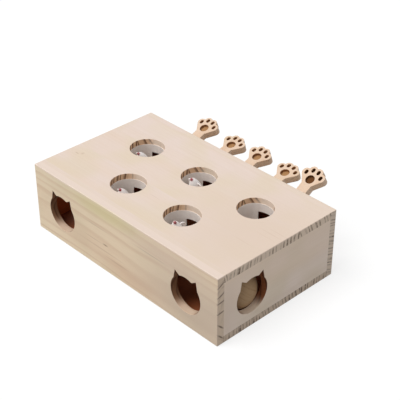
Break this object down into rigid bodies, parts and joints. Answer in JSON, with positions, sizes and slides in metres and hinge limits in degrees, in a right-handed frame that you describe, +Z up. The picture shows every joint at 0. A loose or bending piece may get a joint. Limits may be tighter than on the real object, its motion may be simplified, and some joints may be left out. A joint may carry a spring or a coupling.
{
  "type": "whack-a-mole cat toy",
  "caption": "Oblong pine cat toy box: pressing a paw-shaped lever at the back lifts a white mouse out of a lined hole in the top, and cat-head windows open on a loose ball inside.",
  "frame": {"origin": "middle of the underside of the box, which the toy stands on; the paws stand out behind it", "axes": "+X along the box, +Y from the front windows towards the paws, +Z up"},
  "size_m": [0.33, 0.2542, 0.1025],
  "materials": {
    "pine": "sanded, unvarnished",
    "lever_wood": "sanded, unvarnished",
    "birch": "sanded",
    "ball_wood": "turned and sanded",
    "liner": "satin",
    "mouse_white": "matt",
    "ear_felt": "felt",
    "eye_black": "polished",
    "nose_red": "polished",
    "steel": "drawn bar"
  },
  "bodies": {
    "box": {"top_board": "pine", "bottom_board": "pine", "front_board": "pine", "back_board": "pine", "left_end_panel": "pine", "right_end_panel": "pine", "glue_dowels": "birch", "pivot_rod": "steel", "hole_liner_1": "liner", "hole_liner_2": "liner", "hole_liner_3": "liner", "hole_liner_4": "liner", "hole_liner_5": "liner"},
    "lever_1": {"lever_1": "lever_wood", "mouse_post_1": "birch", "mouse_body_1": "mouse_white", "mouse_ears_1": "ear_felt", "mouse_eyes_1": "eye_black", "mouse_nose_1": "nose_red"},
    "lever_2": {"lever_2": "lever_wood", "mouse_post_2": "birch", "mouse_body_2": "mouse_white", "mouse_ears_2": "ear_felt", "mouse_eyes_2": "eye_black", "mouse_nose_2": "nose_red"},
    "lever_3": {"lever_3": "lever_wood", "mouse_post_3": "birch", "mouse_body_3": "mouse_white", "mouse_ears_3": "ear_felt", "mouse_eyes_3": "eye_black", "mouse_nose_3": "nose_red"},
    "lever_4": {"lever_4": "lever_wood", "mouse_post_4": "birch", "mouse_body_4": "mouse_white", "mouse_ears_4": "ear_felt", "mouse_eyes_4": "eye_black", "mouse_nose_4": "nose_red"},
    "lever_5": {"lever_5": "lever_wood", "mouse_post_5": "birch", "mouse_body_5": "mouse_white", "mouse_ears_5": "ear_felt", "mouse_eyes_5": "eye_black", "mouse_nose_5": "nose_red"},
    "ball": {"ball": "ball_wood"}
  },
  "joints": [
    {"name": "lever_1_pivot", "type": "hinge", "parent": "box", "child": "lever_1", "pos_m": [-0.0968, 0.078, 0.0575], "axis": [-1, 0, 0], "range_deg": [-9.1, 36.7]},
    {"name": "lever_2_pivot", "type": "hinge", "parent": "box", "child": "lever_2", "pos_m": [-0.0484, 0.078, 0.0575], "axis": [-1, 0, 0], "range_deg": [-3.3, 21.2]},
    {"name": "lever_3_pivot", "type": "hinge", "parent": "box", "child": "lever_3", "pos_m": [0, 0.078, 0.0575], "axis": [-1, 0, 0], "range_deg": [-12.8, 33]},
    {"name": "lever_4_pivot", "type": "hinge", "parent": "box", "child": "lever_4", "pos_m": [0.0484, 0.078, 0.0575], "axis": [-1, 0, 0], "range_deg": [-3.2, 21.3]},
    {"name": "lever_5_pivot", "type": "hinge", "parent": "box", "child": "lever_5", "pos_m": [0.0968, 0.078, 0.0575], "axis": [-1, 0, 0], "range_deg": [0, 45.8]},
    {"name": "ball_roll", "type": "slide", "parent": "box", "child": "ball", "axis": [1, 0, 0], "range_m": [-0.035, 0]}
  ]
}
